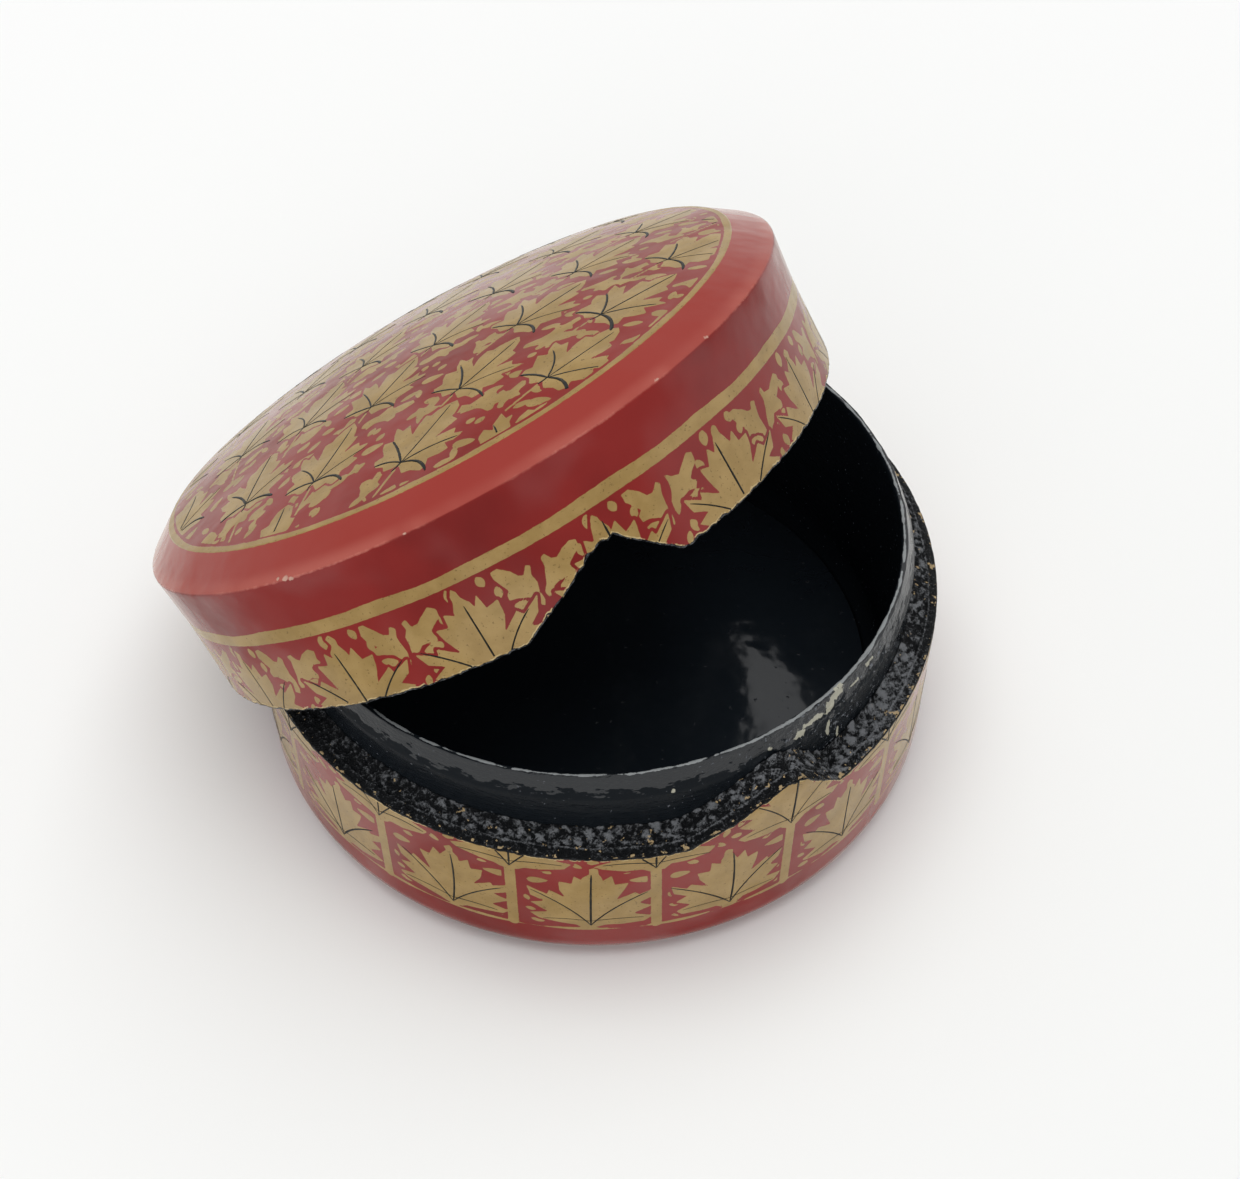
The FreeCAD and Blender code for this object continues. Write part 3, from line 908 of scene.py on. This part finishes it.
def makeBaseWall():
    # ring with a hidden inner side: quarter round foot, then the painted wall up to the ragged saw cut, where its
    # edge rolls inwards over the skin of paint
    rows = Rows(base["columns"])
    level = cutLevel(rows.angle) - cutEdge(rows.angle, 11)
    outer = shell["outerRadius"]
    foot = shell["footRound"]
    for turn in np.radians(np.linspace(0, 90, base["footRows"] + 1)[:-1]):
        rows.add(outer - foot + foot * math.sin(turn), foot - foot * math.cos(turn), 0)
    for share in np.linspace(0, 1, base["wallRows"]):
        rows.add(outer, foot + share * (level - base["edgeSoft"] - foot), 0)
    for inwards, down in ((0.06, 0.12), (0.25, 0), (base["skin"], 0.2)):
        rows.add(outer - inwards, level - down, 1)
    rows.add(outer - base["skin"], foot, 2)
    rows.add(outer - foot, 0.5, 2)
    angle, radii, heights, parts = rows.arrays()
    piece = turnedPiece("paintedBase", radii, heights, False, True)
    painted = (parts == 0)[:, None]
    addField(piece, "gold", np.where(painted, sideGold(angle, heights, 100), -9.0))
    addField(piece, "fromCut", np.where(painted, level - heights, 0.0))
    addField(piece, "bare", np.full(radii.shape, -3.0))
    addField(piece, "crease", np.full(radii.shape, 9.0))
    addField(piece, "fadedAndLit", np.zeros(radii.shape))
    setMaterials(piece, parts, base["columns"], True)
    return piece


def ridge(angle, radius, outer):
    # low ridge of pulp that runs along the wall: bell curve across the ledge, its middle wavering
    away = radius - outer + base["ridgeInset"] + smoothNoise(angle, 0, 46, 3.0, 2) * 0.2
    return hump(away, 0, base["ridgeWidth"])


def makeLedge():
    # ring of torn pulp: height = cut + rake x share of the way in + lumps + ridge + fillet against the collar;
    # the tooth's corners are softened away from the wall
    rows = Rows(base["ledgeColumns"])
    outer = shell["outerRadius"] - base["ledgeInset"]
    inner = collar["outer"] + 0.02
    level = cutLevel(rows.angle) - base["ledgeDrop"]
    soft = base["toothSoft"]
    beside = (cutLevel(rows.angle - soft) + cutLevel(rows.angle + soft)) / 2 - base["ledgeDrop"]
    rougher = 1 + 0.8 * hump(rows.angle, *base["roughAt"])
    rows.add(inner, level - base["ledgeSkirt"], 1)
    for radius in np.linspace(inner, outer, base["ledgeRows"]):
        share = (outer - radius) / (outer - inner)
        height = level + (np.minimum(level, beside) - level) * min(1, share * 2) + sawCut["rake"] * share
        edge = np.clip((outer - radius) / base["smoothBand"], 0.25, 1)
        lumps = crumbs(rows.angle, radius, 41) * base["lumps"] * edge * rougher
        paintJoint = 0.4 + 0.6 * np.abs(smoothNoise(rows.angle, 0, 45, 1.5)) + 1.4 * (rougher - 1)
        fillet = base["fillet"] * math.exp(-(radius - inner) / base["filletWidth"]) * paintJoint
        raised = base["ridgeHeight"] * ridge(rows.angle, radius, outer)
        rows.add(radius, height + lumps + raised * edge + fillet, 1)
    rows.add(outer, level - base["ledgeSkirt"], 1)
    angle, radii, heights, parts = rows.arrays()
    piece = turnedPiece("sawnLedge", radii, heights, False, True)
    # the painted glints lie on the lumps of the inner part and on the ridge, fewer where the ledge is painted in
    # shade and more where grey
    share = np.clip((outer - radii) / (outer - inner), 0, 1)
    within = np.clip((share + smoothNoise(angle, 0, 46, 3.0, 2) * 0.06 - 0.28) * 5, 0, 1)
    within = np.maximum(within, np.clip(rougher * 2 - 2.4, 0, 1))
    crumbGlints = within * np.clip(crumbs(angle, radii, 41) * 3 + 0.75, 0, 1.3)
    # painted shade: fewer glints along one stretch of the ledge
    crumbGlints = np.maximum(crumbGlints, ridge(angle, radii, outer) * 0.6) * (1 - 0.7 * hump(angle, *base["shadedAt"]))
    addField(piece, "crumbGlints", crumbGlints + hump(angle, *base["greyAt"]) * 0.3)
    chippy = 1 + 0.9 * hump(angle, *base["chippyAt"])
    addField(piece, "rim", np.clip(1 - (outer - radii) / base["rimWidth"], 0, 1) * chippy)
    piece.data.materials.append(sawnFinish)
    return piece


def makeFloorDisc():
    # bottom, side and gently wavy floor of the bowl, from pole to pole; bulge = -(radius / bowl radius)^2
    rows = Rows(base["floorColumns"])
    edge = shell["outerRadius"] - shell["footRound"]
    for radius in rowsBetween(3.0, edge, 6.0):
        rows.add(radius, 0.0, 2)
    rows.add(edge, 0.0, 2)
    rows.add(edge, shell["floorTop"], 2)
    for radius in rowsBetween(base["bowlRadius"], 2.0, 1.2):
        rows.add(radius, shell["floorTop"] + smoothNoise(rows.angle, radius, 13, 12.0, 2) * base["floorWave"], 2)
    rows.heights[-1][:] = rows.heights[-1].mean()
    angle, radii, heights, parts = rows.arrays()
    piece = turnedPiece("bowlFloor", radii, heights, False, False)
    bulge = np.where(heights > shell["floorTop"] / 2, -(radii / base["bowlRadius"]) ** 2, 0.0)
    addField(piece, "bulge", np.r_[bulge.ravel(), 0.0, 0.0])
    piece.data.materials.append(lacquerFinish)
    return piece


lidWall = {
    "columns": 1150, "wallRows": 46, "wallEnd": 39.6, "flareRows": 9, "shoulderRows": 9, "creaseSoft": 0.3,
    "innerRows": 5, "sawnRows": 8, "innerRound": 0.15,
    # azimuth, height, length and width of the chipped spots
    "chips": [(259.2, 46.2, 1.5, 0.7), (260.4, 45.95, 0.9, 0.55), (257.8, 46.3, 0.7, 0.45),
              (333.6, 46.2, 1.1, 0.5), (322.5, 46.2, 0.8, 0.35), (280.0, 46.1, 0.5, 0.25),
              (182.0, 46.1, 0.9, 0.4), (95.0, 46.0, 1.0, 0.35), (20.0, 46.1, 0.7, 0.35)],
}


def makeLidWall():
    # closed ring: cut edge, wall, flare, crease, shoulder, joint to the dome, ceiling edge, inner wall, sawn face
    columns = lidWall["columns"]
    rows = Rows(columns)
    cut = cutLevel(rows.angle) + sawCut["kerf"]
    level = cut + cutEdge(rows.angle, 21)
    outer = shell["outerRadius"]
    inner = shell["innerRadius"]
    creaseHeight = shell["creaseHeight"]
    creaseRadius = shell["creaseRadius"]
    shoulderRadius = shell["shoulderRadius"]
    for inwards, up in ((0.25, 0), (0.06, 0.12)):
        rows.add(outer - inwards, level + up, 1)
    low = level + base["edgeSoft"]
    for share in np.linspace(0, 1, lidWall["wallRows"]):
        height = low + share * (lidWall["wallEnd"] - low)
        rows.add(wallRadius(height), height, 0)
    soft = lidWall["creaseSoft"]
    for height in np.linspace(lidWall["wallEnd"], creaseHeight - soft, lidWall["flareRows"] + 1)[1:]:
        rows.add(wallRadius(height), height, 0)
    slope = (shell["shoulderHeight"] - creaseHeight) / (creaseRadius - shoulderRadius)
    rows.add(creaseRadius - 0.05, creaseHeight - soft * 0.3, 0)
    rows.add(creaseRadius - 0.17, creaseHeight + 0.05, 0)
    for radius in np.linspace(creaseRadius - 0.4, shoulderRadius, lidWall["shoulderRows"]):
        rows.add(radius, creaseHeight + (creaseRadius - radius) * slope, 0)
    rows.add(shoulderRadius - 0.01, shell["shoulderHeight"] + 0.005, 0)
    rows.add(shoulderRadius - 0.02, shell["shoulderHeight"] - 0.4, 2)
    rows.add(shoulderRadius, ceilingLevel(shoulderRadius), 2)
    rounded = lidWall["innerRound"]
    rows.add(inner - rounded, ceilingLevel(inner), 2)
    highest = creaseHeight - shell["soffitDrop"] - 2 * rounded
    for share in np.linspace(0, 1, lidWall["innerRows"]):
        rows.add(inner, highest + share * (cut + sawCut["rake"] + rounded - highest), 2)
    for radius in np.linspace(inner + rounded, outer - 3 * rounded, lidWall["sawnRows"]):
        lumps = np.abs(smoothNoise(rows.angle, radius * 3, 22, 0.8, 2)) * base["lumps"] * 0.5
        rows.add(radius, cut + sawCut["rake"] * (outer - radius) / (outer - inner) + lumps, 1)
    angle, radii, heights, parts = rows.arrays()
    piece = turnedPiece("paintedLidWall", radii, heights, True, True)
    painted = (parts == 0)[:, None]
    shoulder = painted & (heights > creaseHeight)
    gold = np.where(painted, sideGold(angle, heights, 100), -9.0)
    addField(piece, "gold", np.where(shoulder, ringField(radii), gold))
    addField(piece, "fromCut", np.where(painted, heights - level, 0.0))
    addField(piece, "bare", np.where(painted, chippedSpots(angle, heights, lidWall["chips"]), -3.0))
    addField(piece, "crease", np.where(shoulder, creaseRadius - radii, creaseHeight - heights))
    # the shoulder is painted lighter, as lit from above, and dulled
    addField(piece, "fadedAndLit", np.where(shoulder, 1.0, 0.0))
    addField(piece, "crumbGlints", np.full(radii.shape, 0.4))
    setMaterials(piece, parts, columns, True)
    return piece


def ringField(radius):
    # half width of the gold ring - distance from its middle
    return top["ringWidth"] / 2 - np.abs(radius - top["ring"])


# the top is painted a little lighter, as lit from above, and dulled
lidTop = {"columns": 760, "rows": 122, "ceilingRows": 7, "fadedAndLit": 0.15, "matt": 0.6}


def makeLidTop():
    # domed disc from pole to rim, and the two-cone ceiling back to its own pole
    columns = lidTop["columns"]
    rows = Rows(columns)
    edge = shell["shoulderRadius"]
    for radius in np.r_[np.linspace(0.4, edge - 0.03, lidTop["rows"]), edge - 0.01]:
        rows.add(radius, domeLevel(radius), 0)
    rows.parts[-1] = 2
    for radius in np.r_[edge, np.linspace(shell["bendRadius"], 1.0, lidTop["ceilingRows"])]:
        rows.add(radius, float(ceilingLevel(radius)), 2)
    angle, radii, heights, parts = rows.arrays()
    piece = turnedPiece("paintedLidTop", radii, heights, True, False)
    gold = topGold(radii * np.cos(np.radians(angle)), radii * np.sin(np.radians(angle)))
    poles = 2
    addField(piece, "gold", np.r_[gold.ravel(), np.full(poles, -9.0)])
    even = {"fromCut": 9.0, "bare": -3.0, "crease": 9.0, "fadedAndLit": lidTop["fadedAndLit"], "matt": lidTop["matt"]}
    for name, value in even.items():
        addField(piece, name, np.full(radii.size + poles, value))
    setMaterials(piece, parts, columns, False)
    return piece


collar = {
    "columns": 1250, "bore": 43.9, "outer": 46.0, "top": 36.4, "lip": 0.8, "bevel": 3.4, "fillet": 2.6,
    "filletRows": 7, "boreRows": 22, "bevelRows": 15, "outerRows": 16,
    "inset": 0.04, "lipRound": 0.14, "shownFrom": 24.0, "lipMiddle": 0.32, "lipWidth": 0.16,
    "wornAt": (320.0, 20.0),
    # azimuth, height, length and width of the bare spots
    "bare": [(318.5, 35.7, 3.4, 0.9), (313.0, 34.8, 3.6, 0.5), (316.5, 35.0, 1.6, 1.5), (315.5, 31.6, 0.7, 2.6),
             (318.3, 29.0, 0.6, 1.8), (309.6, 33.9, 1.5, 0.9), (308.2, 31.4, 1.1, 0.6), (323.5, 34.9, 2.2, 0.45),
             (328.0, 35.3, 1.8, 0.4), (303.0, 34.6, 0.7, 0.4), (306.4, 29.6, 0.8, 0.5), (285.6, 33.2, 0.4, 0.4)],
}


def makeCollar():
    # foot fillet, bore, lip, bevel and outer face, as one closed loop carried round the axis; each follows its
    # plain line + smooth noise, with crumbs where the collar is worn
    rows = Rows(collar["columns"])
    angle = rows.angle
    floor = shell["floorTop"] + 0.1
    bore = collar["bore"]
    fillet = collar["fillet"]
    outer = collar["outer"]
    inset = collar["inset"]
    wear = hump(angle, *collar["wornAt"])
    nicks = np.clip(smoothNoise(angle, 0, 36, 0.7, 3) - 0.55, 0, 1) * 0.22
    topLevel = collar["top"] - inset + smoothNoise(angle, 0, 31, 7.0, 3) * 0.05 - nicks * (1 + wear)
    for turn in np.radians(np.linspace(0, 90, collar["filletRows"])):
        rows.add(bore - fillet + fillet * math.sin(turn), floor + fillet - fillet * math.cos(turn), 2)
    for share in np.linspace(0.06, 1, collar["boreRows"]):
        height = floor + fillet + share * (collar["top"] - 0.3 - floor - fillet)
        rows.add(bore - inset + smoothNoise(angle, height, 32, 9.0, 2) * 0.05, height, 2)
    lipOuter = bore + collar["lip"] + smoothNoise(angle, 0, 37, 1.8, 3) * 0.12
    lipInner = bore + collar["lipRound"]
    rows.add(bore + 0.03, topLevel - 0.12, 2)
    rows.add(lipInner, topLevel - 0.02, 2)
    for share in (0.25, 0.45, 0.65, 0.8, 0.95):
        lumps = np.abs(smoothNoise(angle, share * 2, 38, 0.6, 2)) * (0.03 + 0.09 * wear)
        rows.add(lipInner + share * (lipOuter - lipInner), topLevel - 0.05 * share + lumps, 2)
    bevelEnd = collar["top"] - collar["bevel"]
    for share in np.linspace(0.05, 0.97, collar["bevelRows"]):
        rough = crumbs(angle, share * 3.6, 33) * (0.004 + 0.5 * wear)
        rows.add(lipOuter + share * (outer - lipOuter) + rough - 0.03, topLevel + share * (bevelEnd - topLevel), 2)
    for share in np.linspace(0, 1, collar["outerRows"]):
        height = bevelEnd - 0.25 + share * (floor + 16 - bevelEnd)
        rough = crumbs(angle, height, 34) * (0.006 + 0.5 * wear) + smoothNoise(angle, height, 35, 4.0, 2) * 0.02
        rows.add(outer - inset + rough, height, 2)
    rows.add(outer - inset, floor, 2)
    angle, radii, heights, parts = rows.arrays()
    piece = turnedPiece("lacqueredCollar", radii, heights, False, True)
    outside = (heights > collar["shownFrom"]) * (radii > bore + 0.5)
    addField(piece, "scuff", wear * outside * np.clip(0.6 + crumbs(angle, heights, 33) * 2, 0, 1))
    lipMiddle = bore + collar["lipMiddle"] + smoothNoise(angle, 0, 39, 1.3, 2) * 0.12
    lipWidth = collar["lipWidth"] * (1 + smoothNoise(angle, 0, 40, 0.9, 3)) + 0.12 * wear
    onTop = (heights > topLevel - 0.4) & (radii > bore)
    addField(piece, "lip", np.where(onTop, (lipWidth - np.abs(radii - lipMiddle)) * 3, -3.0))
    addField(piece, "bare", np.where(radii > bore + 0.3, chippedSpots(angle, heights, collar["bare"]), -3.0))
    piece.data.materials.append(collarFinish)
    return piece


def dress(piece, body, node=None):
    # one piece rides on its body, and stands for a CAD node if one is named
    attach(piece, body)
    if node:
        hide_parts(node)
    print(piece.name, "made")


def dressVeins(veins, body):
    # vein strokes are all in the ink, and stand for no CAD node
    veins.data.materials.append(veinFinish)
    dress(veins, body)


dress(makeBaseWall(), "box", "base_shell")
dress(makeLedge(), "box", "base_shell")
dress(makeFloorDisc(), "box", "base_shell")
dress(makeLidWall(), "lid", "lid_shell")
dress(makeLidTop(), "lid", "lid_shell")
dress(makeCollar(), "box", "inner_collar")
dressVeins(sideVeins("baseVeins", False), "box")
dressVeins(sideVeins("lidWallVeins", True), "lid")
dressVeins(topVeins("lidTopVeins"), "lid")


stage = {
    # metres; the world's light falls from the horizon's strength to the zenith's between two heights
    "floorSize": 60.0, "floorLevel": -0.0001, "floorColour": (0.85, 0.855, 0.845),
    "whiteFrom": 0.07, "whiteTo": 0.4, "horizon": 1.0, "zenith": 0.3, "dimFrom": 0.2, "dimTo": 0.72,
}


def seenDirectly(tree):
    # 1 for rays from the camera, off a gloss or through glass
    rays = addNode(tree, "LightPath")
    gloss = maths(tree, "MAXIMUM", rays.outputs["Is Glossy Ray"], rays.outputs["Is Transmission Ray"])
    return maths(tree, "MAXIMUM", rays.outputs["Is Camera Ray"], gloss)


def makeFloor():
    # pale paper: diffuse round the box, so that it keeps the shadow; where it is seen directly it turns white
    # with the distance from the box
    mesh = bpy.data.meshes.new("floor")
    half = stage["floorSize"] / 2
    level = stage["floorLevel"]
    corners = [(-half, -half, level), (half, -half, level), (half, half, level), (-half, half, level)]
    mesh.from_pydata(corners, [], [(0, 1, 2, 3)])
    floor = bpy.data.objects.new("floor", mesh)
    bpy.context.scene.collection.objects.link(floor)
    material, tree, shader = startMaterial("paleFloor")
    shader.inputs["Base Color"].default_value = (*stage["floorColour"], 1)
    shader.inputs["Roughness"].default_value = 0.9
    shader.inputs["Specular IOR Level"].default_value = 0.1
    white = addNode(tree, "Emission", {"Color": (1, 1, 1, 1), "Strength": 1.0})
    place = addNode(tree, "TexCoord").outputs["Object"]
    distance = addNode(tree, "VectorMath", {0: place}, operation="LENGTH").outputs["Value"]
    away = softStep(tree, distance, stage["whiteFrom"], stage["whiteTo"])
    share = maths(tree, "MULTIPLY", seenDirectly(tree), away)
    mixed = addNode(tree, "MixShader", {0: share, 1: shader.outputs[0], 2: white.outputs[0]})
    tree.links.new(mixed.outputs[0], tree.nodes["Material Output"].inputs["Surface"])
    floor.data.materials.append(material)


def makeWorld():
    # white where it is seen directly; as light, bright at the horizon and dimmer overhead
    world = bpy.data.worlds.new("paleRoom")
    world.use_nodes = True
    bpy.context.scene.world = world
    tree = world.node_tree
    tree.nodes.clear()
    direction = addNode(tree, "TexCoord").outputs["Generated"]
    height = addNode(tree, "SeparateXYZ", {"Vector": direction}).outputs["Z"]
    share = softStep(tree, height, stage["dimFrom"], stage["dimTo"])
    strength = maths(tree, "MULTIPLY_ADD", share, stage["zenith"] - stage["horizon"], stage["horizon"])
    room = addNode(tree, "Background", {"Color": (1, 1, 1, 1), "Strength": strength})
    white = addNode(tree, "Background", {"Color": (1, 1, 1, 1), "Strength": 1.0})
    mixed = addNode(tree, "MixShader", {0: seenDirectly(tree), 1: room.outputs[0], 2: white.outputs[0]})
    addNode(tree, "OutputWorld", {"Surface": mixed.outputs[0]})


lamps = {
    # place and size in metres and power in watts of each soft lamp, all turned to the middle of the box
    "overhead": ((-0.02, 0.12, 0.8), 0.95, 6.0), "front": ((-0.1, -0.75, 0.25), 0.6, 1.5),
}
lampTarget = (0, 0, 0.03)


def addLamp(name, place, size, power):
    # square soft lamp that no gloss mirrors
    lamp = bpy.data.lights.new(name, "AREA")
    lamp.size = size
    lamp.energy = power
    holder = bpy.data.objects.new(name, lamp)
    bpy.context.scene.collection.objects.link(holder)
    holder.location = place
    holder.rotation_mode = "QUATERNION"
    holder.rotation_quaternion = (Vector(lampTarget) - Vector(place)).to_track_quat("-Z", "Y")
    holder.visible_glossy = False


camera = {
    # metres, degrees, and millimetres on the sensor
    "place": (0.01199, -0.18875, 0.24589), "target": (0.003683, 0, 0.020924), "roll": -0.523,
    "lens": 57.37, "sensor": 36, "nearest": 0.01,
}


def makeCamera():
    # looks from place to target, then turned about its own line of sight
    data = bpy.data.cameras.new("camera")
    data.lens = camera["lens"]
    data.sensor_width = camera["sensor"]
    data.clip_start = camera["nearest"]
    holder = bpy.data.objects.new("camera", data)
    bpy.context.scene.collection.objects.link(holder)
    place = Vector(camera["place"])
    sight = (Vector(camera["target"]) - place).normalized()
    right = sight.cross(Vector((0, 0, 1))).normalized()
    above = right.cross(sight)
    roll = math.radians(camera["roll"])
    side = right * math.cos(roll) + above * math.sin(roll)
    upward = above * math.cos(roll) - right * math.sin(roll)
    turn = Matrix((side, upward, -sight)).transposed().to_4x4()
    holder.matrix_world = Matrix.Translation(place) @ turn
    bpy.context.scene.camera = holder


makeFloor()
makeWorld()
for name, (place, size, power) in lamps.items():
    addLamp(name, place, size, power)
makeCamera()
bpy.context.scene.view_settings.view_transform = "Standard"
print("stage, lamps and camera placed")
